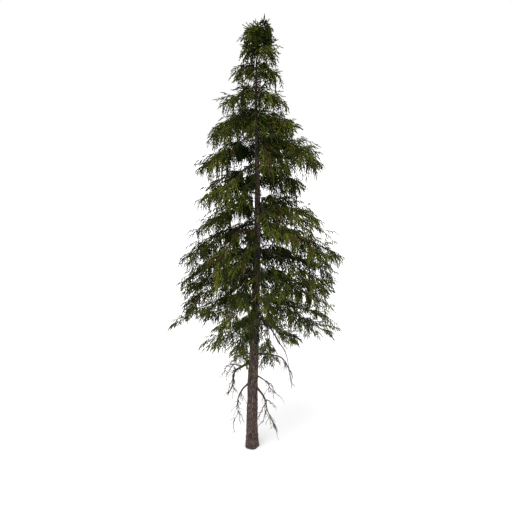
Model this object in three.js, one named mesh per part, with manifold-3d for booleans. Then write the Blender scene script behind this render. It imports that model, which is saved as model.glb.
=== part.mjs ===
// A spruce 16 m tall, rooted in the ground: one trunk, bare and dead boughs below the crown,
// the boughs that show in the crown's gaps, and the drooping masses of foliage, tier by tier.
// Millimetres, +Z up, +X to the right of the front view, -Y to the front. The origin is the
// middle of the flat cut where the trunk meets the ground.
import * as THREE from "three";
import { mergeVertices } from "three/addons/utils/BufferGeometryUtils.js";
import Module from "manifold-3d";

const wasm = await Module();
wasm.setup();

// ---- driving dimensions -------------------------------------------------------------------

const TREE_HEIGHT = 16000;
const GAP = 0.3; // left between a piece and the neighbour that it is cut round
const JOINT_GAP = 1.2; // left between a bough's end and the mass that it runs into
const MERGE = 1e-3; // corners closer than this are one corner
const POLE = 1e-6; // below this width, a unit sphere has come to its pole

const TRUNK = {
  height: 15900,
  stemRadius: 235, // at the ground, without the root flare
  taper: 0.85,
  tipRadius: 9,
  flare: 50,
  flareHeight: 450,
  flareRoots: 5,
  flareDepth: 14,
  sides: 16,
  rings: 16,
  ringPower: 1.3, // the rings stand closer together in the root flare than higher up
};
// The line of the trunk: height, then its offset to the right and to the back.
const LEAN = [
  [0, 0, 0],
  [2100, 20, -10],
  [5000, 110, 10],
  [9300, 212, 30],
  [12500, 185, 10],
  [14500, 165, -10],
  [TREE_HEIGHT, 430, -30],
];

const LIMB = { sides: 5, rings: 7, tipShare: 0.3 };
// above: the share of a mass's thickness above the line of its boughs. ragged and lumps: how deep
// the uneven skin is and how often it swells along the mass. fingers and notch: the uneven edge of
// its far end. arch: how the boughs bend down towards their tips. tierSeed and sectorSeed shift
// the unevenness from one mass to the next.
const MASS = {
  around: 9,
  along: 7,
  swell: 0.36,
  above: 0.36,
  thinning: 0.3,
  ragged: 0.14,
  lumps: 7,
  fingers: 5,
  notch: 0.07,
  arch: 1.55,
  tierSeed: 1.7,
  sectorSeed: 2.3,
  clearance: 2,
};

const COLOURS = {
  bark: { color: 0x4a3c38, roughness: 0.95, metalness: 0 },
  deadWood: { color: 0x54423c, roughness: 0.95, metalness: 0 },
  needles: { color: 0x2a3a14, roughness: 0.8, metalness: 0 },
};

// ---- the crown, tier by tier from the top -------------------------------------------------

// attach: the height where the tier's boughs leave the trunk. depth: half its thickness.
// Each sector is [bearing, half its width, where it starts, its reach, its drop], with bearings in
// degrees anticlockwise from above: 0 right, 90 back, 180 left, 270 front.
const TIERS = [
  {
    name: "t01",
    attach: 15620,
    depth: 370,
    sectors: { left: [185, 88, 30, 730, 20], right: [5, 88, 30, 400, 20] },
  },
  {
    name: "t02",
    attach: 15080,
    depth: 400,
    sectors: { left: [170, 88, 0, 700, 120], right: [-10, 88, 0, 740, 130] },
  },
  {
    name: "t03",
    attach: 14480,
    depth: 420,
    sectors: { left: [200, 87, 0, 900, 330], right: [18, 87, 0, 1010, 380] },
  },
  {
    name: "t04",
    attach: 13800,
    depth: 450,
    sectors: { left: [175, 87, 0, 1270, 520], right: [-5, 87, 0, 1150, 500] },
  },
  {
    name: "t05",
    attach: 13040,
    depth: 500,
    sectors: {
      left: [188, 56, 0, 1850, 860],
      right: [10, 56, 0, 1560, 600],
      front: [280, 32, 0, 1450, 640],
      back: [98, 32, 0, 1500, 600],
    },
  },
  {
    name: "t06",
    attach: 12180,
    depth: 540,
    sectors: {
      left: [176, 43, 520, 2080, 1040],
      right: [-4, 43, 0, 2480, 900],
      front: [298, 32, 0, 1900, 900],
      back: [86, 43, 0, 1950, 880],
    },
  },
  {
    name: "t07",
    attach: 11180,
    depth: 560,
    sectors: {
      left: [188, 43, 560, 2080, 1040],
      right: [8, 43, 0, 1720, 760],
      front: [240, 28, 0, 2050, 960],
      back: [98, 43, 0, 2100, 940],
    },
  },
  {
    name: "t08",
    attach: 10080,
    depth: 570,
    sectors: {
      left: [172, 43, 0, 2440, 1300],
      right: [-10, 43, 0, 2620, 1160],
      front: [300, 28, 0, 2400, 1150],
      back: [82, 43, 0, 2450, 1120],
    },
  },
  {
    name: "t09",
    attach: 9180,
    depth: 520,
    sectors: {
      left: [184, 43, 700, 2860, 1460],
      right: [3, 43, 640, 3120, 1320],
      front: [241, 28, 0, 2700, 1250],
      back: [94, 43, 0, 2800, 1260],
    },
  },
  {
    name: "t10",
    attach: 8260,
    depth: 510,
    sectors: {
      left: [177, 43, 0, 3180, 1480],
      right: [-5, 43, 0, 3240, 1260],
      front: [267, 43, 0, 2950, 1260],
      back: [86, 43, 0, 3000, 1240],
    },
  },
  {
    name: "t11",
    attach: 7340,
    depth: 510,
    sectors: {
      left: [187, 43, 0, 2980, 1280],
      right: [3, 43, 0, 3200, 1200],
      front: [277, 43, 0, 3000, 1160],
      back: [96, 43, 0, 3050, 1160],
    },
  },
  {
    name: "t12",
    attach: 6340,
    depth: 500,
    sectors: {
      left: [176, 43, 0, 2280, 700],
      right: [-2, 43, 0, 3280, 1260],
      front: [267, 43, 0, 2900, 1150],
      back: [87, 43, 0, 2950, 1150],
    },
  },
  {
    name: "t13",
    attach: 5400,
    depth: 430,
    sectors: {
      left: [182, 43, 0, 2150, 900],
      right: [2, 43, 0, 1900, 880],
      front: [272, 43, 0, 1900, 1040],
      back: [92, 43, 0, 2000, 900],
    },
  },
];

// The leader's own spray, round the tip of the trunk.
const LEADER = { foot: 15560, reach: 150, halfHeight: 215, lean: 60, lobes: 3, twist: 4 };

// The far spray of a low left bough, past a bare stretch of it.
const FAR_SPRAY = {
  bearing: 178,
  spread: 9,
  start: 2350,
  reach: 3330,
  attach: 6800,
  drop: 1600,
  depth: 130,
  seed: 0.4,
};

// ---- the boughs ---------------------------------------------------------------------------

// A bough that shows in a gap: the mass that it runs into, and its radius at the trunk.
const BARE_BOUGHS = {
  t06: { left: 34 },
  t07: { left: 36 },
  t09: { left: 42, right: 44 },
};
const BOUGH_RISE = 140; // how much higher than the mass's start a bough leaves the trunk

// The other limbs. height: where one leaves the trunk. bends: how far out and up from there.
// A side limb leaves the limb that it names, at a share of that limb's length.
const LIMBS = [
  {
    name: "bough_t12_left",
    height: 6330,
    bearing: 178,
    radius: 28,
    bends: [[560, 40], [1150, -60], [1634, -250], [2190, -461]],
  },
  {
    name: "dead_bough_left_upper",
    height: 3830,
    bearing: 190,
    radius: 46,
    bends: [[260, -240], [600, -560], [640, -1000], [800, -1330]],
  },
  {
    name: "dead_bough_left_upper_side",
    from: "dead_bough_left_upper",
    share: 0.28,
    bearing: 176,
    radius: 20,
    bends: [[260, 90], [520, 10], [700, -260]],
  },
  {
    name: "dead_bough_left_lower",
    height: 2960,
    bearing: 196,
    radius: 34,
    bends: [[160, -260], [420, -880], [410, -1330], [560, -1600]],
  },
  {
    name: "dead_bough_left_back",
    height: 4080,
    bearing: 142,
    radius: 26,
    bends: [[300, -110], [690, -420], [820, -980]],
  },
  {
    name: "dead_bough_right_upper",
    height: 3230,
    bearing: -14,
    radius: 28,
    bends: [[200, -160], [430, -420], [640, -720]],
  },
  {
    name: "dead_bough_right_lower",
    height: 2860,
    bearing: -24,
    radius: 38,
    bends: [[330, -600], [430, -1060], [720, -1850]],
  },
  {
    name: "dead_bough_right_high",
    height: 4090,
    bearing: 22,
    radius: 34,
    bends: [[420, -120], [1000, -430], [1180, -720], [1400, -1480]],
  },
  {
    name: "dead_bough_right_hanging",
    height: 5900,
    bearing: -25,
    radius: 24,
    bends: [[190, -310], [510, -660], [840, -1200], [1090, -1510], [1250, -2070]],
  },
];

// ---- geometry helpers ---------------------------------------------------------------------

const radians = THREE.MathUtils.degToRad;

const leanAt = new THREE.CubicInterpolant(
  LEAN.map((station) => station[0]),
  LEAN.flatMap((station) => station.slice(1)),
  2,
);

/** The middle of the trunk at a height. */
function trunkCentre(height) {
  const [x, y] = leanAt.evaluate(height);
  return new THREE.Vector3(x, y, height);
}

/** The trunk's radius at a height and a bearing in radians, with the root flare's ridges. */
function trunkRadius(height, bearing = 0) {
  const left = 1 - height / TREE_HEIGHT;
  const flare = Math.exp(-height / TRUNK.flareHeight);
  const ridges = TRUNK.flareDepth * Math.cos(TRUNK.flareRoots * bearing);
  return TRUNK.stemRadius * left ** TRUNK.taper + flare * (TRUNK.flare + ridges);
}

/** A point out from the trunk's middle at a height. */
function outFromTrunk(height, bearing, distance, rise = 0) {
  return trunkCentre(height).add(
    new THREE.Vector3(distance * Math.cos(bearing), distance * Math.sin(bearing), rise),
  );
}

/** The trunk with level rings, grown by a clearance on all sides. */
function trunkGeometry(clearance = 0) {
  const geometry = new THREE.CylinderGeometry(1, 1, 1, TRUNK.sides, TRUNK.rings);
  geometry.rotateX(Math.PI / 2);
  geometry.translate(0, 0, 0.5);
  const at = geometry.getAttribute("position");
  for (let i = 0; i < at.count; i++) {
    const height = TRUNK.height * at.getZ(i) ** TRUNK.ringPower;
    const bearing = Math.atan2(at.getY(i), at.getX(i));
    const onAxis = Math.hypot(at.getX(i), at.getY(i)) < 0.5;
    const radius = Math.max(trunkRadius(height, bearing), TRUNK.tipRadius) + clearance;
    const place = outFromTrunk(height, bearing, onAxis ? 0 : radius);
    at.setXYZ(i, place.x, place.y, place.z);
  }
  return geometry;
}

/** A tapering limb along a curve, grown by a clearance on all sides. */
function limbGeometry(line, radius, clearance = 0) {
  const geometry = new THREE.CylinderGeometry(1, 1, 1, LIMB.sides, LIMB.rings);
  const frames = line.computeFrenetFrames(LIMB.rings, false);
  const at = geometry.getAttribute("position");
  for (let i = 0; i < at.count; i++) {
    const along = at.getY(i) + 0.5;
    const ring = Math.round(along * LIMB.rings);
    const thick = radius * THREE.MathUtils.lerp(1, LIMB.tipShare, along) + clearance;
    const place = line
      .getPointAt(along)
      .addScaledVector(frames.normals[ring], at.getX(i) * thick)
      .addScaledVector(frames.binormals[ring], -at.getZ(i) * thick);
    at.setXYZ(i, place.x, place.y, place.z);
  }
  return geometry;
}

/** A drooping mass in a sector round the trunk: an uneven closed body, its ends on the radius. */
function massGeometry({ attach, depth, bearing, spread, start, reach, drop, seed }) {
  const geometry = new THREE.SphereGeometry(1, MASS.around, MASS.along);
  const at = geometry.getAttribute("position");
  for (let i = 0; i < at.count; i++) {
    const along = Math.acos(THREE.MathUtils.clamp(at.getY(i), -1, 1)) / Math.PI;
    const turn = Math.atan2(at.getZ(i), at.getX(i));
    const width = Math.hypot(at.getX(i), at.getZ(i));
    const swell = width < POLE ? 0 : width ** MASS.swell;
    const lumps = Math.sin(2 * turn - seed) * Math.cos(MASS.lumps * along - seed);
    const share = Math.sin(turn) > 0 ? MASS.above : 1 - MASS.above;
    const sideways = swell * Math.cos(turn);
    const up = 2 * share * swell * Math.sin(turn) * (1 + MASS.ragged * lumps);
    const thin = 1 - MASS.thinning * along;
    const notch = MASS.notch * along * (1 + Math.sin(MASS.fingers * sideways + 3 * seed));
    const distance = start + (reach - start) * along * (1 - notch);
    const place = outFromTrunk(
      attach,
      radians(bearing) + radians(spread) * sideways,
      distance,
      depth * thin * up - drop * (distance / reach) ** MASS.arch,
    );
    at.setXYZ(i, place.x, place.y, place.z);
  }
  return geometry;
}

/** The upright spray round the leader. */
function leaderGeometry({ foot, reach, halfHeight, lean, lobes, twist }) {
  const geometry = new THREE.SphereGeometry(1, MASS.around, MASS.along);
  geometry.rotateX(Math.PI / 2);
  const at = geometry.getAttribute("position");
  for (let i = 0; i < at.count; i++) {
    const bearing = Math.atan2(at.getY(i), at.getX(i));
    const rough = 1 + MASS.ragged * Math.sin(lobes * bearing + twist * at.getZ(i));
    const rise = halfHeight * (1 + at.getZ(i));
    const height = Math.min(foot + rise, TREE_HEIGHT);
    const place = trunkCentre(height);
    place.x += reach * rough * at.getX(i) + (lean * rise) / (2 * halfHeight);
    place.y += reach * rough * at.getY(i);
    at.setXYZ(i, place.x, place.y, height);
  }
  return geometry;
}

/** The same geometry grown along its normals, as the room that a neighbour leaves round it. */
function grown(geometry, clearance) {
  const room = mergeVertices(bareOf(geometry), MERGE);
  room.computeVertexNormals();
  const at = room.getAttribute("position");
  const normal = room.getAttribute("normal");
  for (let i = 0; i < at.count; i++) {
    at.setXYZ(
      i,
      at.getX(i) + clearance * normal.getX(i),
      at.getY(i) + clearance * normal.getY(i),
      at.getZ(i) + clearance * normal.getZ(i),
    );
  }
  return room;
}

/** A geometry with only its places and faces. */
function bareOf(geometry) {
  const bare = geometry.clone();
  bare.deleteAttribute("normal");
  bare.deleteAttribute("uv");
  return bare;
}

/** A closed geometry as a solid that can be cut. */
function solidOf(geometry) {
  const merged = mergeVertices(bareOf(geometry), MERGE);
  return new wasm.Manifold(
    new wasm.Mesh({
      numProp: 3,
      vertProperties: merged.attributes.position.array,
      triVerts: new Uint32Array(merged.index.array),
    }),
  );
}

/** A cut solid as a geometry again. */
function geometryOf(solid) {
  const mesh = solid.getMesh();
  const geometry = new THREE.BufferGeometry();
  geometry.setAttribute("position", new THREE.BufferAttribute(mesh.vertProperties, 3));
  geometry.setIndex(new THREE.BufferAttribute(mesh.triVerts, 1));
  geometry.computeVertexNormals();
  return geometry;
}

/** A geometry with each cutter taken away from it. */
function cutRound(geometry, ...cutters) {
  return geometryOf(cutters.reduce((solid, cutter) => solid.subtract(cutter), solidOf(geometry)));
}

// ---- the tree -----------------------------------------------------------------------------

const tree = new THREE.Group();
const trunkRoom = solidOf(trunkGeometry(GAP));
const taken = []; // the rooms that the later masses keep out of, each with its box

function addPiece(name, geometry, finish) {
  const mesh = new THREE.Mesh(geometry, new THREE.MeshStandardMaterial(finish));
  mesh.name = name;
  tree.add(mesh);
}

/** Keeps the room round a piece free of the masses that come after it. */
function keepClear(geometry) {
  geometry.computeBoundingBox();
  taken.push({ box: geometry.boundingBox, room: solidOf(geometry) });
}

/** Adds a limb cut round its parent's room, and keeps its own room clear. */
function addLimb(name, line, radius, finish, parentRoom) {
  addPiece(name, cutRound(limbGeometry(line, radius), parentRoom), finish);
  keepClear(limbGeometry(line, radius, MASS.clearance));
}

function addTrunk() {
  addPiece("trunk", trunkGeometry(), COLOURS.bark);
}

function addLimbs() {
  const lines = {};
  for (const { name, from, share, height, bearing, radius, bends } of LIMBS) {
    const turn = radians(bearing);
    const root = from ? lines[from].line.getPointAt(share) : trunkCentre(height);
    const foot = from ? 0 : trunkRadius(height);
    const line = new THREE.CatmullRomCurve3([
      root,
      ...bends.map(([out, rise]) =>
        root.clone().add(
          new THREE.Vector3((foot + out) * Math.cos(turn), (foot + out) * Math.sin(turn), rise),
        ),
      ),
    ]);
    lines[name] = { line, room: solidOf(limbGeometry(line, radius, GAP)) };
    const finish = name.startsWith("dead") ? COLOURS.deadWood : COLOURS.bark;
    addLimb(name, line, radius, finish, from ? lines[from].room : trunkRoom);
  }
}

function addBareBoughs() {
  for (const { name, attach, sectors } of TIERS) {
    for (const [side, radius] of Object.entries(BARE_BOUGHS[name] ?? {})) {
      const [bearing, , start, reach, drop] = sectors[side];
      const sag = drop * (start / reach) ** MASS.arch;
      const turn = radians(bearing);
      const line = new THREE.CatmullRomCurve3([
        outFromTrunk(attach, turn, 0, BOUGH_RISE),
        outFromTrunk(attach, turn, start / 2, BOUGH_RISE / 2),
        outFromTrunk(attach, turn, start - JOINT_GAP, -sag),
      ]);
      addLimb(`bough_${name}_${side}`, line, radius, COLOURS.bark, trunkRoom);
    }
  }
}

/** Adds a mass cut round the trunk and round the pieces that are there already. */
function addMass(name, geometry) {
  geometry.computeBoundingBox();
  const near = taken.filter(({ box }) => box.intersectsBox(geometry.boundingBox));
  addPiece(name, cutRound(geometry, trunkRoom, ...near.map(({ room }) => room)), COLOURS.needles);
  keepClear(grown(geometry, MASS.clearance));
}

function addMasses() {
  TIERS.forEach(({ name, attach, depth, sectors }, tier) => {
    Object.entries(sectors).forEach(([side, [bearing, spread, start, reach, drop]], sector) => {
      const seed = MASS.tierSeed * tier + MASS.sectorSeed * sector;
      const shape = { attach, depth, bearing, spread, start, reach, drop, seed };
      addMass(`foliage_${name}_${side}`, massGeometry(shape));
    });
  });
  addMass("foliage_leader", leaderGeometry(LEADER));
  addMass("foliage_t12_left_tip", massGeometry(FAR_SPRAY));
}

addTrunk();
addLimbs();
addBareBoughs();
addMasses();

export default tree;
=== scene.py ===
"""A forest-grown spruce: bark, boughs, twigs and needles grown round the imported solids."""

import math

import bmesh
import bpy
import numpy as np
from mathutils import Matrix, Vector, noise
from mathutils.bvhtree import BVHTree


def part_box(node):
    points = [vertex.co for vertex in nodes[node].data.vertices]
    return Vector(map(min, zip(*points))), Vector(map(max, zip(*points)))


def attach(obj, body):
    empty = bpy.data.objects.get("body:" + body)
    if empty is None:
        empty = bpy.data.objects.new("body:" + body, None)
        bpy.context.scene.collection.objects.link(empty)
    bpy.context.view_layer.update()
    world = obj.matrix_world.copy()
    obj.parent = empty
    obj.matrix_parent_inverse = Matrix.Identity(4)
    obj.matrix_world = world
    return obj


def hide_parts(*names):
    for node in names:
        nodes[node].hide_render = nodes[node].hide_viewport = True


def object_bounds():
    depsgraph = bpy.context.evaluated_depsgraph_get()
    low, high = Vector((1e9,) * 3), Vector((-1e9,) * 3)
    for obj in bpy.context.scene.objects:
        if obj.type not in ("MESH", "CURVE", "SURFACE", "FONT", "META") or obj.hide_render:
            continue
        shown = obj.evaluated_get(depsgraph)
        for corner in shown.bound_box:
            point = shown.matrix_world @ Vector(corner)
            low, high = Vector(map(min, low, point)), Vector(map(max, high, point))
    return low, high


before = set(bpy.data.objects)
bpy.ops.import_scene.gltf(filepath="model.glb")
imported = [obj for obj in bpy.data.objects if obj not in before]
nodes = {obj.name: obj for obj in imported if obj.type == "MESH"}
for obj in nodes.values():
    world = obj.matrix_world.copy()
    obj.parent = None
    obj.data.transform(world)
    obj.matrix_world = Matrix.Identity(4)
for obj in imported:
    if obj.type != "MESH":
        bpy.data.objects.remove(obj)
cad_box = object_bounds()
rng = np.random.default_rng(1887)
clearing = np.random.default_rng(77)  # for the shoots left out in front of the stem alone

# ---- measures, in metres and degrees ---------------------------------------------------

CAMERA = {"lens": 39.4, "distance": 20.14, "elevation": 17.7, "aim": (0.16, 0.0, 8.0)}
FLOOR_RADIUS = 90.0

TRUNK = {"sides": 128, "ring_gap": 0.022, "gap_growth": 1.9, "relief": 0.017, "plate": 0.06}
LIMB = {"sides": 8, "rings": 26, "relief": 0.0022}

BOUGH_SPACING = 0.6  # between neighbouring boughs of a mass, at two thirds of their reach
BOUGH_GIRTH = 0.0085  # a bough's radius at the trunk, for each metre of its reach
BOUGH_THINNEST = 0.006
BOUGH_TIP = 0.003
BOUGH_STATIONS = 22
BOUGH_SHARES = (0.78, 0.42, 0.62, 0.2)  # how high in its mass each next bough runs
BOUGH_SWAY, TIP_SWAY = 0.05, 0.02  # in radians of bearing, at the middle and at the tip
TIP_DROOP = 0.09  # of a bough's last fifth, for each metre of its reach

ROOM_GRID = (19, 34)  # bearings and radii at which a mass's top and bottom are found
SPRAYS = 96  # side twigs in a mass of one cubic metre, before it is crowded
SPRAY_POWER = 0.55  # below one, so that a larger mass is more open
# For each tier: how crowded it is, how far its sprays hang below its mass and rise above it in
# metres, and how steeply its shoots droop.
TIERS = {
    "t01": (4.0, 0.4, 0.0, 0.15),
    "t02": (2.0, 0.36, 0.16, 0.15),
    "t03": (1.4, 0.36, 0.2, 0.2),
    "t04": (1.4, 0.42, 0.2, 0.28),
    "t05": (1.75, 0.42, 0.18, 0.45),
    "t06": (1.65, 0.46, 0.16, 0.6),
    "t07": (1.55, 0.46, 0.18, 0.65),
    "t08": (1.2, 0.34, 0.14, 0.72),
    "t09": (1.35, 0.34, 0.14, 0.75),
    "t10": (1.35, 0.3, 0.14, 0.75),
    "t11": (1.35, 0.28, 0.12, 0.72),
    "t12": (1.05, 0.12, 0.08, 0.6),
    "t13": (1.05, 0.12, 0.06, 0.6),
}
SPRAY_STATIONS = 5
CROWDED = {"foliage_t12_left_tip": 1.8, "foliage_t06_right": 1.15, "foliage_t09_left": 1.2}
RAISED = {"foliage_t06_right": 0.35, "foliage_t08_right": 0.3}  # metres more that sprays rise
OVERLAP = 0.05  # how far a mass's sprays reach over its neighbours, as a share of its width
BARE_SPRAYS = 0.16  # of the sprays near the trunk in the two lowest tiers
SPRAY_RADIUS = 0.004
OUTWARD = 0.52  # the lower it is, the more of the sprays end far from the stem
NEAR_STEM, FAR_LOSS = 1.3, 0.5  # sprays near the stem hang and rise further than outer ones
FARTHEST = 0.95  # from a bough to the end of a spray that it can bear
SLIDE_BACK = 0.8  # how far back along its bough a spray starts, for each metre it reaches out
SHORTEST_SPRAY = 0.09

EDGE_SHARE = 0.022  # how far the shoots may pass the solids, as a share of the tree's sides
EDGE_INSET = 0.06  # and how far inside that edge the boughs and sprays end
OPEN_SIDE = np.array([0.0, -0.953, 0.304])  # the way in which the stem and a dead bough show
OPEN_WIDTH = 0.19  # kept free of shoots to each side of the hanging dead bough
OPEN_ROUND = 0.4  # and all round its free end
# The share of the shoots in front of the stem that are left out, from height to height.
STEM_SHOWS = ((4.0, 0.25), (8.0, 0.45), (11.5, 0.85), (14.4, 0.85))
STEM_MARGIN = 0.025  # beside the stem

TINT_STEPS = (0, 0, 0, -1, -1, 1)  # how a shoot's tint may differ from its spray's
TINT_EDGES = (0.1, 0.26, 0.42, 0.6, 0.82)  # from shade, inside and low, to light, on top
STRAY_TINTS = 0.12  # of the sprays, with any of the greens
RUSTY_INSIDE, RUSTY_OUTSIDE = 0.035, 0.09  # of the sprays, along a bough and near its end
TOP_FROM, TOP_PALER = 13.0, 0.16  # masses from this height up have paler needles

LEADER = {"twigs": 30, "spacing": 0.045, "size": 0.52, "reach": (0.2, 0.07), "tip": 0.28}
SHOOT_SPACING = 0.066
SHOOT_ANGLE = 40
SHOOT_LENGTH = (0.15, 0.23)
SHOOT_RADIUS = 0.0026
SHOOT_SIZE, SIZE_BY_REACH = 0.52, 0.34  # shoots are longer in wider masses, up to full size

NEEDLES_PER_SHOOT = 16  # each a broad blade that stands for several
NEEDLE_LENGTH = 0.05
NEEDLE_WIDTH = 0.03
NEEDLE_LEAN, NEEDLE_CLOSING = 34, 18  # off the shoot at its foot, and less of it at its tip
NEEDLE_TWIST = 0.35  # how far the blades face away from straight outwards, at random
PIECE_LIMIT = 190_000  # triangles in one joined piece

DEAD_GIRTH, HANGING_GIRTH = 1.4, 2.1  # how much thicker the bark is than the solids
FORK_RADII = (0.023, 0.008)
# Each kind of dead twig: the space between them, their length, their spread and their seed.
FORKS = {"every": 0.3, "length": (0.32, 0.62), "spread": 0.85, "seed": 21, "first": 0.2}
DEAD_TWIGS = {"every": 0.24, "length": (0.22, 0.48), "spread": 0.6, "seed": 11}
DEAD_TWIGLETS = {"every": 0.3, "length": (0.13, 0.28), "spread": 0.5, "seed": 12}
DEAD_TWIG_RADII = (0.0135, 0.0085)

GOLDEN_ANGLE = math.pi * (3 - math.sqrt(5))
UP = np.array([0.0, 0.0, 1.0])


# ---- small helpers ---------------------------------------------------------------------

def unit(rows):
    """Rows of vectors, each brought to length one."""
    return rows / np.maximum(np.linalg.norm(rows, axis=-1, keepdims=True), 1e-9)


def points_of(node):
    """A CAD node's corners."""
    return np.array([corner.co for corner in node.data.vertices], float)


def surface_of(node):
    """A CAD node's surface, for casting rays at it."""
    faces = [tuple(face.vertices) for face in node.data.polygons]
    return BVHTree.FromPolygons([corner.co for corner in node.data.vertices], faces)


def sample_line(line, at):
    """Points at shares of a polyline's length, and the unit tangents there."""
    steps = np.linalg.norm(np.diff(line, axis=0), axis=1)
    along = np.concatenate([[0.0], np.cumsum(steps)]) / steps.sum()
    places = np.stack([np.interp(at, along, line[:, k]) for k in range(3)], -1)
    ahead = np.stack([np.interp(np.minimum(at + 0.03, 1), along, line[:, k]) for k in range(3)], -1)
    behind = np.stack([np.interp(np.maximum(at - 0.03, 0), along, line[:, k]) for k in range(3)], -1)
    return places, unit(ahead - behind)


def length_of(line):
    return float(np.linalg.norm(np.diff(line, axis=0), axis=1).sum())


def smooth_line(points, count):
    """A smooth line of count points through a few points, by Catmull-Rom spans."""
    padded = np.vstack([2 * points[0] - points[1], points, 2 * points[-1] - points[-2]])
    places = []
    for share in np.linspace(0, len(points) - 1, count):
        span = min(int(share), len(points) - 2)
        t = share - span
        a, b, c, d = padded[span : span + 4]
        places.append(
            0.5 * (2 * b + (c - a) * t + (2 * a - 5 * b + 4 * c - d) * t**2 + (3 * b - a - 3 * c + d) * t**3)
        )
    return np.array(places)


# ---- what the frame says about the stem and the limbs ----------------------------------

def measure_stem():
    """The trunk's level rings: their heights, middles and radii."""
    corners = points_of(nodes["trunk"])
    levels = np.round(corners[:, 2], 3)
    heights = np.unique(levels)
    middles, radii = [], []
    for height in heights:
        ring = corners[levels == height][:, :2]
        middle = (ring.max(0) + ring.min(0)) / 2
        out = np.linalg.norm(ring - middle, axis=1)
        middles.append(middle)
        radii.append(out[out > 0.3 * out.max()].mean())
    return heights, np.array(middles), np.array(radii)


STEM_HEIGHTS, STEM_MIDDLES, STEM_RADII = measure_stem()


def stem_middle(height):
    return np.array([np.interp(height, STEM_HEIGHTS, STEM_MIDDLES[:, k]) for k in range(2)])


def stem_radius(height):
    return float(np.interp(height, STEM_HEIGHTS, STEM_RADII))


def limb_line(node, stations=7):
    """The middle line of a CAD limb from its root to its tip, and its radius at the root."""
    bm = bmesh.new()
    bm.from_mesh(node.data)
    bmesh.ops.remove_doubles(bm, verts=bm.verts, dist=1e-4)
    bm.verts.ensure_lookup_table()
    corners = np.array([v.co for v in bm.verts])

    def walk_from(start):
        """The way along the mesh's edges from one corner to every other."""
        far = np.full(len(corners), np.inf)
        far[start] = 0.0
        todo = [start]
        while todo:
            here = todo.pop(0)
            for edge in bm.verts[here].link_edges:
                there = edge.other_vert(bm.verts[here]).index
                if far[here] + edge.calc_length() < far[there] - 1e-9:
                    far[there] = far[here] + edge.calc_length()
                    todo.append(there)
        return far

    end = int(np.argmax(walk_from(0)))
    other = int(np.argmax(walk_from(end)))
    out = [np.linalg.norm(corners[i][:2] - stem_middle(corners[i][2])) for i in (end, other)]
    root = end if out[0] < out[1] else other
    far = walk_from(root)
    bm.free()
    share = far / far.max()
    bins = np.clip((share * stations).round().astype(int), 0, stations)
    line = np.array([corners[bins == k].mean(0) for k in range(stations + 1) if (bins == k).any()])
    first = corners[bins == 1]
    axis = unit(line[2] - line[0])
    off = first - line[1]
    radius = np.linalg.norm(off - np.outer(off @ axis, axis), axis=1).mean()
    return line, float(radius)


# ---- materials -------------------------------------------------------------------------

def new_material(name, colour, roughness, specular=0.3):
    material = bpy.data.materials.new(name)
    material.use_nodes = True
    shader = material.node_tree.nodes["Principled BSDF"]
    shader.inputs["Base Color"].default_value = (*colour, 1)
    shader.inputs["Roughness"].default_value = roughness
    shader.inputs["Specular IOR Level"].default_value = specular
    return material, material.node_tree, shader


def add_node(tree, kind, **values):
    """Adds a shader node, with values for its sockets."""
    node = tree.nodes.new(kind)
    for name, value in values.items():
        node.inputs[name].default_value = value
    return node


def object_pattern(tree, stretch):
    """Object coordinates, scaled apart along each axis."""
    place = add_node(tree, "ShaderNodeTexCoord")
    mapping = add_node(tree, "ShaderNodeMapping", Scale=stretch)
    tree.links.new(place.outputs["Object"], mapping.inputs["Vector"])
    return mapping.outputs["Vector"]


def add_ramp(tree, source, stops):
    """A colour ramp over a value, from (place, colour) stops."""
    ramp = tree.nodes.new("ShaderNodeValToRGB")
    elements = ramp.color_ramp.elements
    while len(elements) < len(stops):
        elements.new(0.5)
    for element, (place, colour) in zip(elements, stops):
        element.position = place
        element.color = (*colour, 1)
    tree.links.new(source, ramp.inputs["Fac"])
    return ramp.outputs["Color"]


def mix_colours(tree, share, first, second):
    """A mix of two colours, by a plain share or by another node's output."""
    mix = tree.nodes.new("ShaderNodeMix")
    mix.data_type = "RGBA"
    if isinstance(share, float):
        mix.inputs["Factor"].default_value = share
    else:
        tree.links.new(share, mix.inputs["Factor"])
    colour_sockets = [s for s in mix.inputs if s.type == "RGBA"]
    for socket, source in zip(colour_sockets, (first, second)):
        if isinstance(source, tuple):
            socket.default_value = (*source, 1)
        else:
            tree.links.new(source, socket)
    return next(s for s in mix.outputs if s.type == "RGBA")


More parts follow.
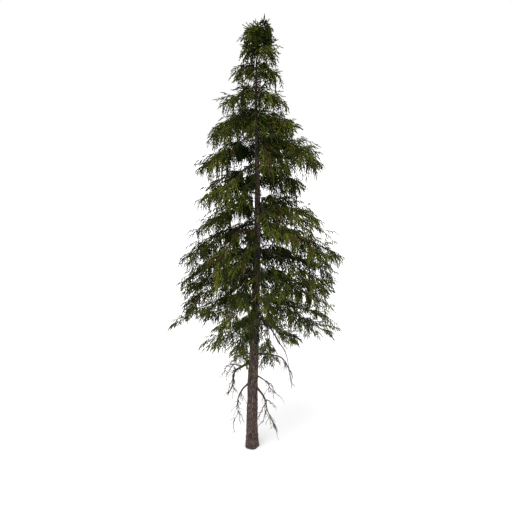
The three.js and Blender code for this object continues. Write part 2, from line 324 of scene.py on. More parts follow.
def bark_material(name, crack_shade_and_dark_grain, plate, pale, stretch, lichen):
    """Scaly bark: plates parted by cracks darkened with painted shade, with paler flakes and lichen specks.
    """
    material, tree, shader = new_material(name, plate, 0.92, 0.2)
    vector = object_pattern(tree, stretch)
    plates = add_node(tree, "ShaderNodeTexVoronoi", Scale=1.0, Randomness=1.0)
    plates.feature = "DISTANCE_TO_EDGE"
    warp = add_node(tree, "ShaderNodeTexNoise", Scale=0.9, Detail=4)
    grain = add_node(tree, "ShaderNodeTexNoise", Scale=3.2, Detail=6, Roughness=0.65)
    specks = add_node(tree, "ShaderNodeTexNoise", Scale=1.6, Detail=8, Roughness=0.8)
    bent = add_node(tree, "ShaderNodeVectorMath")
    bent.operation = "MULTIPLY_ADD"
    bent.inputs[1].default_value = (0.8, 0.8, 0.8)
    for pattern in (warp, grain, specks):
        tree.links.new(vector, pattern.inputs["Vector"])
    tree.links.new(warp.outputs["Color"], bent.inputs[0])
    tree.links.new(vector, bent.inputs[2])
    tree.links.new(bent.outputs["Vector"], plates.inputs["Vector"])
    depth = add_ramp(tree, plates.outputs["Distance"], [(0.0, (0, 0, 0)), (0.16, (1, 1, 1))])
    # the darkest colour is both the dark end of the plates' grain and the painted shade in the cracks
    ground = add_ramp(tree, grain.outputs["Fac"], [(0.3, crack_shade_and_dark_grain), (0.5, plate), (0.72, pale)])
    # painted shade: towards the plates' edges, where the bump sinks the cracks, the colour goes to the
    # darkest one
    crack_shaded = mix_colours(tree, depth, crack_shade_and_dark_grain, ground)
    flecks = add_ramp(tree, specks.outputs["Fac"], [(0.58, (0, 0, 0)), (0.7, (1, 1, 1))])
    tree.links.new(mix_colours(tree, flecks, crack_shaded, lichen), shader.inputs["Base Color"])
    rough = add_ramp(tree, grain.outputs["Fac"], [(0.2, (0.8, 0.8, 0.8)), (0.8, (1, 1, 1))])
    tree.links.new(rough, shader.inputs["Roughness"])
    height = mix_colours(tree, 0.35, depth, grain.outputs["Color"])
    bump = add_node(tree, "ShaderNodeBump", Strength=0.6, Distance=0.012)
    tree.links.new(height, bump.inputs["Height"])
    tree.links.new(bump.outputs["Normal"], shader.inputs["Normal"])
    return material


def make_materials():
    # Each bark's first colour is both the dark end of its grain and the painted shade in its cracks.
    trunk = bark_material(
        "trunk_bark", (0.014, 0.009, 0.008), (0.085, 0.057, 0.05), (0.21, 0.155, 0.14),
        (14, 14, 3.6), (0.34, 0.3, 0.25),
    )
    bough = bark_material(
        "bough_bark", (0.018, 0.013, 0.011), (0.06, 0.045, 0.038), (0.15, 0.12, 0.1),
        (45, 45, 45), (0.2, 0.18, 0.15),
    )
    dead = bark_material(
        "dead_bough_bark", (0.022, 0.013, 0.011), (0.085, 0.049, 0.042), (0.19, 0.125, 0.11),
        (60, 60, 40), (0.25, 0.2, 0.19),
    )
    plain = {
        "twig_brown": (0.035, 0.024, 0.015),
        "twig_grey": (0.05, 0.036, 0.027),
        "dead_twig_dark": (0.062, 0.034, 0.029),
        "dead_twig_mid": (0.11, 0.063, 0.055),
        "dead_twig_pale": (0.24, 0.165, 0.15),
    }
    # Greens that run from painted shade to painted light, picked by each spray's place, and a rusty brown
    needles = {
        "needle_shade_green": (0.009, 0.013, 0.003),
        "needle_blue_green": (0.015, 0.029, 0.008),
        "needle_deep_green": (0.028, 0.041, 0.005),
        "needle_green": (0.052, 0.068, 0.007),
        "needle_olive": (0.09, 0.102, 0.011),
        "needle_light_olive": (0.15, 0.17, 0.028),
        "needle_rusty": (0.095, 0.06, 0.02),
    }
    made = {"trunk": trunk, "bough": bough, "dead": dead}
    for name, colour in plain.items():
        made[name] = new_material(name, colour, 0.85, 0.2)[0]
    for name, colour in needles.items():
        made[name] = new_material(name, colour, 0.6, 0.06)[0]
    return made, list(needles)


MATERIALS, NEEDLE_TINTS = make_materials()


# ---- making meshes ---------------------------------------------------------------------

def keep_piece(name, mesh, replaced=()):
    """Links a finished mesh as a piece that rides on the tree."""
    piece = bpy.data.objects.new(name, mesh)
    bpy.context.scene.collection.objects.link(piece)
    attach(piece, "root")
    if replaced:
        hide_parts(*replaced)
    return piece


def joined_triangles(name, corners, faces, materials, material_of_face, smooth=False):
    """One mesh from arrays of corners and triangles."""
    mesh = bpy.data.meshes.new(name)
    mesh.vertices.add(len(corners))
    mesh.vertices.foreach_set("co", corners.astype(np.float32).ravel())
    mesh.loops.add(faces.size)
    mesh.loops.foreach_set("vertex_index", faces.astype(np.int32).ravel())
    mesh.polygons.add(len(faces))
    mesh.polygons.foreach_set("loop_start", np.arange(0, faces.size, 3, dtype=np.int32))
    mesh.polygons.foreach_set("material_index", material_of_face.astype(np.int32))
    mesh.polygons.foreach_set("use_smooth", np.full(len(faces), smooth))
    for material in materials:
        mesh.materials.append(material)
    mesh.update(calc_edges=True)
    return mesh


def stacked(parts):
    """Several (corners, faces, marks) arrays as one of each, with the faces renumbered."""
    corners, faces, marks = zip(*parts)
    offsets = np.cumsum([0] + [len(part) for part in corners[:-1]])
    faces = [part + offset for part, offset in zip(faces, offsets)]
    return np.concatenate(corners), np.concatenate(faces), np.concatenate(marks)


def tapering_twigs(lines, radii, sides=3):
    """Closed tapering twigs along lines of shape (twigs, stations, 3), each ending in a point."""
    count, stations, _ = lines.shape
    tangents = unit(np.gradient(lines, axis=1))
    across = unit(np.cross(tangents, np.where(np.abs(tangents[..., 2:]) > 0.9, [1.0, 0, 0], UP)))
    upward = np.cross(across, tangents)
    turn = np.arange(sides) * 2 * math.pi / sides
    spokes = (
        across[:, :-1, None] * np.cos(turn)[:, None] + upward[:, :-1, None] * np.sin(turn)[:, None]
    )
    rings = lines[:, :-1, None] + spokes * radii[:, :-1, None, None]
    corners = np.concatenate([rings.reshape(count, -1, 3), lines[:, -1:]], axis=1)
    faces = []
    for ring in range(stations - 2):
        for side in range(sides):
            a = ring * sides + side
            b = ring * sides + (side + 1) % sides
            faces += [(a, b, b + sides), (a, b + sides, a + sides)]
    last = (stations - 2) * sides
    faces += [(last + side, last + (side + 1) % sides, last + sides) for side in range(sides)]
    faces += [(0, side + 1, side) for side in range(1, sides - 1)]
    per_twig = corners.shape[1]
    faces = np.array(faces)[None] + (np.arange(count) * per_twig)[:, None, None]
    return corners.reshape(-1, 3), faces.reshape(-1, 3)


def close_and_order(bm, end_ring):
    """Closes a limb's open end, turns its faces outwards and puts them in the same order each run."""
    bmesh.ops.contextual_create(bm, geom=end_ring)
    bmesh.ops.recalc_face_normals(bm, faces=bm.faces)
    bm.verts.index_update()

    def rank(face):
        indices = [corner.index for corner in face.verts]
        return min(indices) * len(bm.verts) + max(indices)

    bm.faces.sort(key=rank)
    bm.faces.index_update()


def swept_limb(line, radii, sides, relief, seed):
    """A bark-covered limb as a bmesh: a ring extruded along a line, closed at both ends."""
    bm = bmesh.new()
    tangents = unit(np.gradient(line, axis=0))
    bmesh.ops.create_circle(bm, segments=sides, radius=1.0)
    ring = list(bm.verts)
    bmesh.ops.contextual_create(bm, geom=ring)
    shape = [v.co.copy() for v in ring]
    turn = Vector(tangents[0]).to_track_quat("Z", "Y")
    edges = list(bm.edges)
    for station, (place, radius) in enumerate(zip(line, radii)):
        if station:
            made = bmesh.ops.extrude_edge_only(bm, edges=edges)["geom"]
            ring = [item for item in made if isinstance(item, bmesh.types.BMVert)]
            edges = [item for item in made if isinstance(item, bmesh.types.BMEdge)]
            edges = [edge for edge in edges if all(v in ring for v in edge.verts)]
            swing = Vector(tangents[station - 1]).rotation_difference(Vector(tangents[station]))
            turn = swing @ turn
        for corner, spoke in zip(ring, shape):
            out = turn @ spoke
            rough = noise.noise(Vector(place) * 9 + out * 1.3 + Vector((seed, 0, 0)))
            corner.co = Vector(place) + out * (radius + relief * rough)
    close_and_order(bm, ring)
    return bm


def joined_limbs(name, limbs, sides, relief, material, replaced=()):
    """Several limbs, each a (line, radii) pair, as one piece."""
    whole = bmesh.new()
    part = bpy.data.meshes.new("part")
    for seed, (line, radii) in enumerate(limbs):
        bm = swept_limb(line, radii, sides, relief, seed)
        bm.to_mesh(part)
        bm.free()
        whole.from_mesh(part)
    bpy.data.meshes.remove(part)
    for face in whole.faces:
        face.smooth = True
    mesh = bpy.data.meshes.new(name)
    whole.to_mesh(mesh)
    whole.free()
    mesh.materials.append(material)
    return keep_piece(name, mesh, replaced)


# ---- the trunk -------------------------------------------------------------------------

def ring_heights():
    """Heights of the trunk's rings: close together low down, wider apart higher up."""
    top = float(STEM_HEIGHTS[-1])
    heights = [0.0]
    while heights[-1] < top:
        heights.append(heights[-1] + TRUNK["ring_gap"] * (1 + TRUNK["gap_growth"] * heights[-1] / top))
    heights[-1] = top
    return heights


def bark_depth(bearing, height, girth):
    """How far the bark stands out at a place: plates parted by upright cracks."""
    around = Vector((math.cos(bearing), math.sin(bearing), 0)) * girth / TRUNK["plate"]
    plate = noise.noise(around + Vector((0, 0, height / TRUNK["plate"] / 3.4)))
    flake = noise.noise(around * 2.3 + Vector((7, 3, height / TRUNK["plate"] / 1.2)))
    swell = noise.noise(around * 0.2 + Vector((0, 9, height * 1.3)))
    return abs(plate) * 1.7 + 0.35 * flake + 0.9 * swell - 0.5


def add_trunk():
    """The trunk: rings on the solid's own surface, with the bark's plates raised on it."""
    surface = surface_of(nodes["trunk"])
    bm = bmesh.new()
    bmesh.ops.create_circle(bm, segments=TRUNK["sides"], radius=1.0)
    ring = list(bm.verts)
    bearings = [math.atan2(v.co.y, v.co.x) for v in ring]
    bmesh.ops.contextual_create(bm, geom=ring)
    edges = list(bm.edges)
    heights = ring_heights()
    for station, height in enumerate(heights):
        if station:
            made = bmesh.ops.extrude_edge_only(bm, edges=edges)["geom"]
            ring = [item for item in made if isinstance(item, bmesh.types.BMVert)]
            fresh = set(ring)
            edges = [
                item
                for item in made
                if isinstance(item, bmesh.types.BMEdge) and fresh.issuperset(item.verts)
            ]
        middle = Vector((*stem_middle(height), min(max(height, 1e-3), heights[-1] - 1e-3)))
        girth = stem_radius(height)
        for corner, bearing in zip(ring, bearings):
            out = Vector((math.cos(bearing), math.sin(bearing), 0))
            hit, _, _, distance = surface.ray_cast(middle, out)
            reach = distance if hit else girth
            relief = TRUNK["relief"] * min(1, girth / 0.2) * bark_depth(bearing, height, girth)
            place = middle + out * max(reach + relief, 0.006)
            corner.co = (place.x, place.y, height)
    close_and_order(bm, ring)
    for face in bm.faces:
        face.smooth = len(face.verts) == 4
    mesh = bpy.data.meshes.new("trunk_bark")
    bm.to_mesh(mesh)
    bm.free()
    mesh.materials.append(MATERIALS["trunk"])
    keep_piece("trunk_bark", mesh, ["trunk"])


# ---- the rooms that the foliage grows in -----------------------------------------------

class Room:
    """A foliage solid as it stands round the stem: its top and bottom by bearing and radius."""

    def __init__(self, name):
        self.name = name
        node = nodes[name]
        corners = points_of(node)
        self.low, self.high = corners.min(0), corners.max(0)
        self.axis = stem_middle(self.high[2])
        bm = bmesh.new()
        bm.from_mesh(node.data)
        bmesh.ops.remove_doubles(bm, verts=bm.verts, dist=1e-4)
        self.volume = abs(bm.calc_volume())
        bm.free()
        off = corners[:, :2] - self.axis
        out = np.linalg.norm(off, axis=1)
        self.middle = math.atan2(off[:, 1].sum(), off[:, 0].sum())
        turned = self.turned(off)
        wide = out > 0.35 * out.max()
        bearings, radii = ROOM_GRID
        self.bearings = np.linspace(0.97 * turned[wide].min(), 0.97 * turned[wide].max(), bearings)
        self.radii = np.linspace(0.02, out.max(), radii)
        self.cast(surface_of(node))

    def turned(self, off):
        """Bearings measured from the room's middle one."""
        angle = np.arctan2(off[..., 1], off[..., 0]) - self.middle
        return (angle + math.pi) % (2 * math.pi) - math.pi

    def cast(self, surface):
        """Finds the solid's top, bottom, reach and inner edge with upright rays."""
        shape = (len(self.bearings), len(self.radii))
        self.top, self.bottom = np.full(shape, np.nan), np.full(shape, np.nan)
        for i, bearing in enumerate(self.bearings):
            for j, radius in enumerate(self.radii):
                x, y = self.place(bearing, radius)
                above = surface.ray_cast(Vector((x, y, self.high[2] + 1)), Vector((0, 0, -1)))[0]
                if above is None:
                    continue
                below = surface.ray_cast(Vector((x, y, self.low[2] - 1)), Vector((0, 0, 1)))[0]
                self.top[i, j], self.bottom[i, j] = above.z, below.z
        found = ~np.isnan(self.top)
        self.reach = np.array([self.radii[row].max() if row.any() else 0.0 for row in found])
        self.start = float(min(self.radii[row].min() for row in found if row.any()))
        for i, row in enumerate(found):
            if row.any():
                self.top[i] = np.interp(self.radii, self.radii[row], self.top[i, row])
                self.bottom[i] = np.interp(self.radii, self.radii[row], self.bottom[i, row])

    def place(self, bearing, radius):
        """The x and y at a bearing and a radius."""
        angle = bearing + self.middle
        return self.axis[0] + radius * math.cos(angle), self.axis[1] + radius * math.sin(angle)

    def index(self, values, bearing, radius):
        """Grid values at bearings and radii, blended between neighbours."""
        i = np.interp(bearing, self.bearings, np.arange(len(self.bearings)))
        j = np.interp(radius, self.radii, np.arange(len(self.radii)))
        i0, j0 = i.astype(int), j.astype(int)
        i1 = np.minimum(i0 + 1, len(self.bearings) - 1)
        j1 = np.minimum(j0 + 1, len(self.radii) - 1)
        p, q = i - i0, j - j0
        low = values[i0, j0] * (1 - q) + values[i0, j1] * q
        high = values[i1, j0] * (1 - q) + values[i1, j1] * q
        return low * (1 - p) + high * p


# ---- boughs, sprays and shoots ---------------------------------------------------------

CAD_LOW, CAD_HIGH = (np.array(corner, float) for corner in cad_box)
EDGE = EDGE_SHARE * (CAD_HIGH - CAD_LOW)
EDGE_LOW, EDGE_HIGH = CAD_LOW - EDGE, CAD_HIGH + EDGE


def within_edges(points):
    """Points brought back to where a bough or a spray may end."""
    return np.clip(points, EDGE_LOW + EDGE_INSET, EDGE_HIGH - EDGE_INSET)


def hanging_bough():
    """Places along the hanging dead bough."""
    line, _ = limb_line(nodes["dead_bough_right_hanging"])
    return sample_line(line, np.linspace(0, 1, 24))[0]


def stem_in_view():
    """Places along the stem where it shows through the crown, and its half width there."""
    levels = np.linspace(STEM_SHOWS[0][0], STEM_SHOWS[-1][0], 120)
    places = np.array([[*stem_middle(level), level] for level in levels])
    return places, np.array([stem_radius(level) for level in levels]) + STEM_MARGIN


HANGING_BOUGH = hanging_bough()
STEM_LINE, STEM_HALF_WIDTH = stem_in_view()


class Growth:
    """What has grown so far: boughs (line, length), sprays (line, length, share of the way out
    along the bough) and shoots (arrays of bases, headings, lengths and tints)."""

    def __init__(self):
        self.boughs, self.sprays, self.shoots = [], [], []


def bough_line(room, bearing, share, reach, start):
    """A bough from the trunk, or from where a bare bough ends, through its room to its tip."""
    steps = np.linspace(0, 1, BOUGH_STATIONS)
    radius = start + (reach - start) * steps
    sway = rng.normal(0, BOUGH_SWAY) * np.sin(math.pi * steps) + rng.normal(0, TIP_SWAY) * steps
    turned = np.full_like(steps, bearing) + sway
    top = room.index(room.top, turned, radius)
    bottom = room.index(room.bottom, turned, radius)
    level = bottom + share * (top - bottom)
    level = np.polyval(np.polyfit(steps, level, 4), steps)
    level -= TIP_DROOP * min(reach, 1.6) * np.clip((steps - 0.8) / 0.2, 0, 1) ** 2
    angle = turned + room.middle
    x = room.axis[0] + radius * np.cos(angle)
    y = room.axis[1] + radius * np.sin(angle)
    return within_edges(np.stack([x, y, level], 1))


def room_boughs(room, bare_end=None):
    """The lines of a room's boughs."""
    lo, hi = room.bearings[0], room.bearings[-1]
    far = float(np.median(room.reach))
    count = max(2, round((hi - lo) * 0.66 * far / BOUGH_SPACING))
    lines = []
    for k in range(count):
        bearing = lo + (k + 0.5 + rng.uniform(-0.22, 0.22)) * (hi - lo) / count
        reach = float(np.interp(bearing, room.bearings, room.reach)) * rng.uniform(0.98, 1.05)
        share = BOUGH_SHARES[k % len(BOUGH_SHARES)] + rng.uniform(-0.06, 0.06)
        level = float(room.index(room.top, np.array([bearing]), np.array([room.start]))[0])
        start = max(room.start, 0.5 * stem_radius(level))
        if reach < start + 0.2:
            continue
        line = bough_line(room, bearing, share, reach, start)
        if bare_end is not None:
            line = np.vstack([bare_end[None], line[3:]])
            line = smooth_line(line[::3], BOUGH_STATIONS)
        lines.append(line)
    return lines


def spray_targets(room, number, hanging, rise):
    """Places spread through a room, more of them further out, where the sprays are to end."""
    over = OVERLAP * (room.bearings[-1] - room.bearings[0])
    bearing = rng.uniform(room.bearings[0] - over, room.bearings[-1] + over, number)
    reach = np.interp(bearing, room.bearings, room.reach)
    out = reach * rng.random(number) ** OUTWARD * rng.uniform(0.97, 1.14, number)
    out = np.maximum(out, room.start + 0.12)
    top = room.index(room.top, bearing, out)
    bottom = room.index(room.bottom, bearing, out)
    level = bottom + (top - bottom) * rng.random(number)
    level += rng.uniform(-hanging, rise, number) * (NEAR_STEM - FAR_LOSS * out / reach)
    angle = bearing + room.middle
    x = room.axis[0] + out * np.cos(angle)
    y = room.axis[1] + out * np.sin(angle)
    return within_edges(np.stack([x, y, level], 1))


def grow_sprays(growth, room, boughs, number, hanging, rise):
    """Side twigs: each leaves the bough nearest its target and arches over to hang there."""
    targets = spray_targets(room, number, hanging, rise)
    fine = np.array([sample_line(line, np.linspace(0, 1, 40))[0] for line in boughs])
    lengths = np.array([length_of(line) for line in boughs])
    off = targets[:, None, None] - fine[None]
    apart = np.linalg.norm(off, axis=3) + np.maximum(off[..., 2], 0) * 0.8
    near = apart.min(2)
    chosen = near.argmin(1)
    near = near[np.arange(number), chosen]
    share = apart[np.arange(number), chosen].argmin(1) / 39
    back = SLIDE_BACK * near * rng.uniform(0.7, 1.3, number) / lengths[chosen]
    share = np.clip(share - back, 0.06, 0.97)
    for row in np.flatnonzero(near < FARTHEST):
        line = boughs[chosen[row]]
        (base,), (tangent,) = sample_line(line, share[row : row + 1])
        run = targets[row] - base
        length = np.linalg.norm(run)
        if length < SHORTEST_SPRAY:
            continue
        bend = base + run * [0.5, 0.5, 0.12] + tangent * 0.14 * length
        bend[2] += 0.06 * length
        steps = np.linspace(0, 1, SPRAY_STATIONS)[:, None]
        arch = base * (1 - steps) ** 2 + bend * 2 * steps * (1 - steps) + targets[row] * steps**2
        growth.sprays.append((arch, length_of(arch), share[row]))


def spray_tints(room, middles, share):
    """Each spray's needle tint: painted shade inside and low down, painted light on top, rusty on a few."""
    count = len(share)
    off = middles[:, :2] - room.axis
    out = np.linalg.norm(off, axis=1)
    bearing = room.turned(off)
    top = room.index(room.top, bearing, out)
    bottom = room.index(room.bottom, bearing, out)
    high = np.clip((middles[:, 2] - bottom) / np.maximum(top - bottom, 0.05), 0, 1)
    # painted light and shade: higher in the mass and further out along the bough gives a lighter green, with
    # a random spread
    light = 0.45 * high + 0.35 * share + rng.normal(0, 0.2, count)
    light += TOP_PALER * (room.low[2] > TOP_FROM)
    tint = np.digitize(light, TINT_EDGES)
    swapped = rng.random(count) < STRAY_TINTS
    tint = np.where(swapped, rng.integers(0, 5, count), tint)
    rusty = rng.random(count) < np.where(share > 0.7, RUSTY_OUTSIDE, RUSTY_INSIDE)
    return np.where(rusty, len(NEEDLE_TINTS) - 1, tint)


def stands_clear(places):
    """Which places leave the hanging dead bough in view, and its free end in the open."""
    off = places[:, None] - HANGING_BOUGH[None]
    apart = np.linalg.norm(off, axis=2)
    forward = off @ OPEN_SIDE
    beside = np.linalg.norm(off - forward[..., None] * OPEN_SIDE, axis=2)
    hides = (beside < OPEN_WIDTH) & (forward > -OPEN_WIDTH)
    free_end = np.arange(len(HANGING_BOUGH)) > 0.5 * len(HANGING_BOUGH)
    crowds = (apart < OPEN_ROUND) & free_end
    return ~(hides[:, 2:] | crowds[:, 2:]).any(1)


def shows_stem(places):
    """Which places are kept so that the stem shows in part through the front of the crown."""
    off = places[:, None] - STEM_LINE[None]
    forward = off @ OPEN_SIDE
    beside = np.linalg.norm(off - forward[..., None] * OPEN_SIDE, axis=2)
    hides = (beside < STEM_HALF_WIDTH) & (forward > 0)
    behind = STEM_LINE[hides.argmax(1), 2]
    left_out = np.interp(behind, *zip(*STEM_SHOWS))
    return ~hides.any(1) | (clearing.random(len(places)) > left_out)


def grow_shoots(growth, line, spacing, tint, first=0.12, droop=0.45, size=1.0):
    """Needle-bearing shoots along a twig: left and right in turn, and one at its end."""
    whole = length_of(line)
    count = max(2, int(whole * (1 - first) / spacing))
    share = first + (1 - first) * (np.arange(count) + rng.uniform(0.2, 0.8, count)) / count
    base, tangent = sample_line(line, share)
    flat = unit(np.cross(line[-1] - line[0], UP) + rng.normal(0, 0.02, 3))
    turn = rng.uniform(-0.9, 0.9)
    side = unit(flat * math.cos(turn) + np.cross(tangent, flat) * math.sin(turn))
    side = side * np.where(np.arange(count) % 2, 1, -1)[:, None]
    angle = np.radians(SHOOT_ANGLE + rng.normal(0, 8, count))[:, None]
    heading = tangent * np.cos(angle) + side * np.sin(angle)
    heading = unit(heading - UP * (droop * rng.uniform(0.5, 1.5, count))[:, None])
    length = size * rng.uniform(*SHOOT_LENGTH, count) * (1.05 - 0.3 * share)
    end, ahead = sample_line(line, np.array([1.0]))
    base = np.vstack([base, end])
    heading = np.vstack([heading, unit(ahead - UP * droop)])
    length = np.append(length, size * rng.uniform(*SHOOT_LENGTH))
    varied = np.clip(tint + rng.choice(TINT_STEPS, count + 1), 0, len(NEEDLE_TINTS) - 2)
    tints = np.where(tint == len(NEEDLE_TINTS) - 1, tint, varied)
    tips = base + heading * (length + NEEDLE_LENGTH)[:, None]
    middles = (base + tips) / 2
    within = ((tips > EDGE_LOW) & (tips < EDGE_HIGH)).all(1)
    kept = within & stands_clear(middles) & shows_stem(middles)
    growth.shoots.append((base[kept], heading[kept], length[kept], tints[kept]))


def grow_room(room, bare_end=None):
    """The boughs, sprays and shoots of one foliage mass."""
    growth = Growth()
    boughs = room_boughs(room, bare_end)
    tier = room.name.split("_")[1]
    crowding, hanging, rise, droop = TIERS[tier]
    crowding *= CROWDED.get(room.name, 1.0)
    rise += RAISED.get(room.name, 0.0)
    number = round(SPRAYS * crowding * room.volume**SPRAY_POWER)
    grow_sprays(growth, room, boughs, number, hanging, rise)
    middles = np.array([line[2] for line, *_ in growth.sprays])
    share = np.array([share for *_, share in growth.sprays])
    tints = spray_tints(room, middles, share)
    size = min(1.0, SHOOT_SIZE + SIZE_BY_REACH * float(np.median(room.reach)))
    bare = rng.random(len(tints)) < (BARE_SPRAYS if tier in ("t12", "t13") else 0)
    for (line, *_), tint, is_bare in zip(growth.sprays, tints, bare & (share < 0.6)):
        if is_bare:
            continue
        grow_shoots(growth, line, SHOOT_SPACING, int(tint), droop=droop, size=size)
    for line in boughs:
        growth.boughs.append((line, length_of(line)))
        outer, _ = sample_line(line, np.linspace(0.5, 1, 8))
        # the bough's own outer shoots take the painted light of a spray far out along it
        tint = int(spray_tints(room, outer[4:5], np.array([0.9]))[0])
        grow_shoots(growth, outer, SHOOT_SPACING, tint, 0.0, size=size)
    return growth


def grow_leader():
    """The leading shoot at the very top, with its short twigs held up and out."""
    growth = Growth()
    low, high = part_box("foliage_leader")
    tip = float(STEM_HEIGHTS[-1])
    lean = np.array([(low.x + high.x) / 2 - stem_middle(tip)[0], 0, 0])
    longest, shortest = LEADER["reach"]
    for k in range(LEADER["twigs"]):
        share = (k + 0.5) / LEADER["twigs"]
        level = low.z - 0.1 + (tip - low.z + 0.06) * share
        bearing = k * GOLDEN_ANGLE
        out = np.array([math.cos(bearing), math.sin(bearing), 0.25 + 0.9 * share])
        reach = longest + (shortest - longest) * share
        steps = np.linspace(0, 1, SPRAY_STATIONS)
        start = np.array([*stem_middle(level), level])
        line = start + np.outer(steps, unit(out) * reach + 0.3 * lean)
        line[:, 2] -= 0.05 * steps**2
        tint = int(rng.integers(0, 5))
        growth.sprays.append((line, reach, 0.9))
        grow_shoots(growth, line, LEADER["spacing"], tint, 0.0, 0.15, LEADER["size"])
    top = np.array([*stem_middle(tip), tip])
    leader = np.linspace(top - [0.05, 0, LEADER["tip"]], top, SPRAY_STATIONS)
    growth.sprays.append((leader, LEADER["tip"], 0.95))
    grow_shoots(growth, leader, 0.02, NEEDLE_TINTS.index("needle_green"), 0.0, 0.0, 0.6)
    return growth


# ---- needles ---------------------------------------------------------------------------

def needle_triangles(base, heading, length):
    """Needles set spirally round each shoot, leaning forwards, as pointed blades."""
    shoots = len(base)
    number = np.arange(NEEDLES_PER_SHOOT)
    along = 0.04 + 0.96 * (number + 0.5) / NEEDLES_PER_SHOOT
    side = unit(np.cross(heading, UP + 0.01))
    rise = np.cross(side, heading)
    turn = number[None] * GOLDEN_ANGLE + rng.uniform(0, 2 * math.pi, shoots)[:, None]
    lean = NEEDLE_LEAN - NEEDLE_CLOSING * along[None] + rng.normal(0, 4, (shoots, NEEDLES_PER_SHOOT))
    lean = np.radians(lean)
    spoke = side[:, None] * np.cos(turn)[..., None] + rise[:, None] * (0.8 * np.sin(turn))[..., None]
    way = heading[:, None] * np.cos(lean)[..., None] + spoke * np.sin(lean)[..., None]
    foot = base[:, None] + heading[:, None] * (length[:, None] * along)[..., None]
    size = NEEDLE_LENGTH * (1 - 0.3 * along) * rng.uniform(0.85, 1.15, (shoots, NEEDLES_PER_SHOOT))
    facing = spoke + NEEDLE_TWIST * rng.normal(size=(shoots, NEEDLES_PER_SHOOT, 3))
    broad = unit(np.cross(way, facing))
    half = broad * NEEDLE_WIDTH / 2
    corners = np.stack([foot - half, foot + half, foot + way * size[..., None]], axis=2)
    return corners.reshape(-1, 3)


def shoot_stems(base, heading, length):
    """The brown stems that the needles stand on."""
    lines = np.stack([base, base + heading * length[:, None]], axis=1)
    corners, faces = tapering_twigs(lines, np.full((len(base), 2), SHOOT_RADIUS))
    return corners, faces, np.zeros(len(faces))


def spray_twigs(sprays):
    """The grey twigs that the shoots grow on."""
    lines = np.array([line for line, *_ in sprays])
    reach = np.array([reach for _, reach, _ in sprays])
    taper = np.linspace(1, 0.35, lines.shape[1])
    radii = (SPRAY_RADIUS * (0.6 + 0.8 * np.minimum(reach, 0.8)))[:, None] * taper
    corners, faces = tapering_twigs(lines, radii)
    return corners, faces, np.ones(len(faces))


def add_needles(number, parts, rooms):
    """One piece of needles, in place of the foliage solids that it grows in."""
    name = f"needles_{number}"
    corners = np.concatenate([corners for corners, _ in parts])
    tints = np.concatenate([tints for _, tints in parts])
    faces = np.arange(len(corners)).reshape(-1, 3)
    materials = [MATERIALS[tint] for tint in NEEDLE_TINTS]
    mesh = joined_triangles(name, corners, faces, materials, tints)
    keep_piece(name, mesh, rooms)


def add_twigs(number, parts, _rooms):
    """One piece of living twigs."""
    name = f"twigs_{number}"
    materials = [MATERIALS["twig_brown"], MATERIALS["twig_grey"]]
    corners, faces, marks = stacked(parts)
    mesh = joined_triangles(name, corners, faces, materials, marks, smooth=True)
    keep_piece(name, mesh)


class Batch:
    """Parts of one kind, held until they fill a piece."""

    def __init__(self, add_piece):
        self.add_piece = add_piece
        self.parts, self.rooms, self.size, self.number = [], [], 0, 0

    def hold(self, parts, size, room):
        if self.parts and self.size + size > PIECE_LIMIT:
            self.finish()
        self.parts += parts
        self.rooms.append(room)
        self.size += size

    def finish(self):
        self.number += 1
        self.add_piece(self.number, self.parts, self.rooms)
        self.parts, self.rooms, self.size = [], [], 0


def add_foliage(grown):
    """Joins the needles and the twigs, each kind apart, into pieces under the limit."""
    needles, twigs = Batch(add_needles), Batch(add_twigs)
    for name, growth in grown:
        base, heading, length, tint = (np.concatenate(part) for part in zip(*growth.shoots))
        blades = needle_triangles(base, heading, length)
        needles.hold([(blades, np.repeat(tint, NEEDLES_PER_SHOOT))], len(blades) // 3, name)
        parts = [shoot_stems(base, heading, length), spray_twigs(growth.sprays)]
        twigs.hold(parts, sum(len(faces) for _, faces, _ in parts), name)
    needles.finish()
    twigs.finish()


# ---- dead boughs -----------------------------------------------------------------------

def crooked(line, amount, seed):
    """A line with small crooks that grow away from its root."""
    steps = np.linspace(0, 1, len(line))
    offsets = np.array([
        [noise.noise(Vector((seed * 3.1 + 17 * axis, step * 5.0, 0.5))) for axis in range(3)]
        for step in steps
    ])
    return line + offsets * (amount * np.minimum(1, 3 * steps))[:, None]


def dead_limbs():
    """Lines and radii of the dead boughs."""
    limbs = {}
    for seed, name in enumerate(sorted(n for n in nodes if n.startswith("dead_bough"))):
        line, radius = limb_line(nodes[name])
        line = smooth_line(line, LIMB["rings"])
        inward = unit(line[0] - line[2]) * 0.06
        line = np.vstack([line[:1] + inward, line])
        line = crooked(line, 0.05, seed)
        taper = np.linspace(1.0, 0.2, len(line))
        taper[:3] *= [1.35, 1.25, 1.1]
        girth = HANGING_GIRTH if "hanging" in name else DEAD_GIRTH
        limbs[name] = (line, girth * radius * taper)
    return limbs


def drooping_twigs(lines, stations, every, length, spread, seed, first=0.15):
    """Twigs that leave each line sideways and then hang."""
    generator = np.random.default_rng(seed)
    made = []
    for line in lines:
        whole = length_of(line)
        count = max(1, int(whole / every))
        share = first + (1 - first) * (np.arange(count) + generator.uniform(0.1, 0.9, count)) / count
        base, tangent = sample_line(line, share)
        hand = np.where(generator.random(count) < 0.5, 1, -1)[:, None]
        side = unit(np.cross(tangent, UP) + 1e-6) * hand
        lean = generator.uniform(0.35, 1.0, count)[:, None]
        lift = generator.uniform(-0.4, 0.35, count)[:, None]
        heading = unit(tangent * lean + side * spread + UP * lift)
        reach = generator.uniform(*length, count) * (1.1 - 0.45 * share)
        steps = np.linspace(0, 1, stations)
        droop = generator.uniform(0.25, 0.8, count)
        for k in range(count):
            twig = base[k] + np.outer(steps, heading[k] * reach[k])
            twig[:, 2] -= reach[k] * droop[k] * steps**1.8
            twig[1:] += generator.normal(0, 0.022, (stations - 1, 3)) * reach[k]
            made.append(twig)
    return made


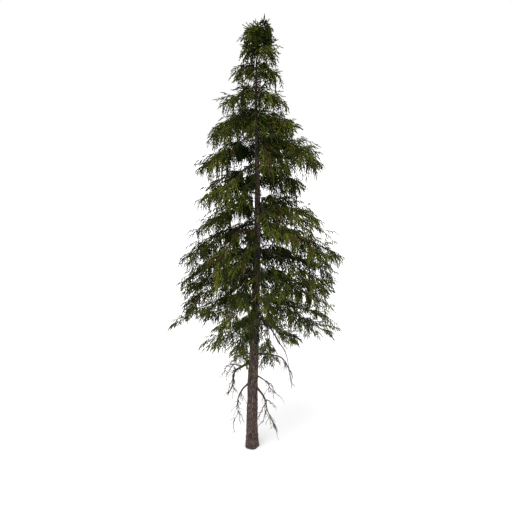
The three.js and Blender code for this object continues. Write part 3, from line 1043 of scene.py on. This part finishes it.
def add_dead_boughs():
    """The dead boughs with their forks, and their fine twigs as a piece apart."""
    limbs = dead_limbs()
    lines = [line for name, (line, _) in limbs.items() if "hanging" not in name]
    forks = drooping_twigs(lines, LIMB["rings"] // 2, **FORKS)
    forks = [crooked(fork, 0.04, seed) for seed, fork in enumerate(forks)]
    whole = list(limbs.values())
    whole += [(fork, np.linspace(*FORK_RADII, len(fork))) for fork in forks]
    joined_limbs(
        "dead_boughs", whole, LIMB["sides"], LIMB["relief"], MATERIALS["dead"], list(limbs)
    )
    twigs = drooping_twigs(lines + forks, 6, **DEAD_TWIGS)
    twiglets = drooping_twigs(twigs, 6, **DEAD_TWIGLETS)
    parts = []
    for paler, (lines, radius) in enumerate(zip((twigs, twiglets), DEAD_TWIG_RADII)):
        lines = np.array(lines)
        radii = np.full(lines.shape[:2], radius) * np.linspace(1, 0.45, lines.shape[1])
        corners, faces = tapering_twigs(lines, radii)
        per_twig = len(faces) // len(lines)
        outer = (np.arange(len(faces)) % per_twig) > per_twig * 0.55
        parts.append((corners, faces, paler + outer))
    corners, faces, marks = stacked(parts)
    tints = [MATERIALS[f"dead_twig_{shade}"] for shade in ("dark", "mid", "pale")]
    mesh = joined_triangles("dead_twigs", corners, faces, tints, marks, smooth=True)
    keep_piece("dead_twigs", mesh)


# ---- the crown -------------------------------------------------------------------------

def bare_boughs():
    """The boughs that show bare before their foliage: the name of the mass, its line and radius."""
    found = {}
    for name in sorted(n for n in nodes if n.startswith("bough_")):
        line, radius = limb_line(nodes[name])
        inward = unit(line[0] - line[2]) * 0.05
        line = smooth_line(np.vstack([line[:1] + inward, line]), 16)
        mass = name.replace("bough_", "foliage_")
        found[mass + "_tip" if mass + "_tip" in nodes else mass] = (name, line, radius)
    return found


def add_crown():
    """Everything that grows in the foliage solids, and the bare boughs that lead to them."""
    bare = bare_boughs()
    grown, limbs = [], []
    for name in sorted(n for n in nodes if n.startswith("foliage_") and n != "foliage_leader"):
        room = Room(name)
        end = bare[name][1][-1] if name in bare else None
        growth = grow_room(room, end)
        grown.append((name, growth))
        for line, reach in growth.boughs:
            thick = max(BOUGH_GIRTH * reach, BOUGH_THINNEST)
            radii = np.linspace(thick, BOUGH_TIP, len(line))
            limbs.append((line, radii))
        if end is not None:
            _, line, radius = bare[name]
            limbs.append((line, np.linspace(radius, 0.75 * radius, len(line))))
    grown.append(("foliage_leader", grow_leader()))
    joined_limbs(
        "living_boughs", limbs, LIMB["sides"], LIMB["relief"], MATERIALS["bough"],
        [name for name, *_ in bare.values()],
    )
    add_foliage(grown)


# ---- camera, lights and floor ----------------------------------------------------------

def add_camera():
    elevation = math.radians(CAMERA["elevation"])
    back = Vector((0, -math.cos(elevation), math.sin(elevation)))
    data = bpy.data.cameras.new("camera")
    data.lens = CAMERA["lens"]
    camera = bpy.data.objects.new("camera", data)
    camera.location = Vector(CAMERA["aim"]) + back * CAMERA["distance"]
    camera.rotation_mode = "QUATERNION"
    camera.rotation_quaternion = (-back).to_track_quat("-Z", "Y")
    bpy.context.scene.collection.objects.link(camera)
    bpy.context.scene.camera = camera


def add_sun(name, energy, softness, towards):
    data = bpy.data.lights.new(name, "SUN")
    data.energy = energy
    data.angle = math.radians(softness)
    lamp = bpy.data.objects.new(name, data)
    lamp.rotation_mode = "QUATERNION"
    lamp.rotation_quaternion = Vector(towards).to_track_quat("-Z", "Y")
    bpy.context.scene.collection.objects.link(lamp)


def add_studio():
    world = bpy.data.worlds.new("studio")
    world.use_nodes = True
    sky = world.node_tree.nodes["Background"]
    sky.inputs["Color"].default_value = (1, 1, 1, 1)
    sky.inputs["Strength"].default_value = 1.0
    bpy.context.scene.world = world
    add_sun("key", 1.9, 50, (0.35, 0.5, -1.0))
    bm = bmesh.new()
    bmesh.ops.create_circle(bm, cap_ends=True, segments=96, radius=FLOOR_RADIUS)
    mesh = bpy.data.meshes.new("floor")
    bm.to_mesh(mesh)
    bm.free()
    mesh.materials.append(new_material("floor_white", (0.93, 0.93, 0.93), 0.9, 0.0)[0])
    floor = bpy.data.objects.new("floor", mesh)
    bpy.context.scene.collection.objects.link(floor)
    bpy.context.scene.view_settings.view_transform = "Standard"


# ---- the tree --------------------------------------------------------------------------

add_camera()
add_studio()
add_trunk()
add_dead_boughs()
add_crown()
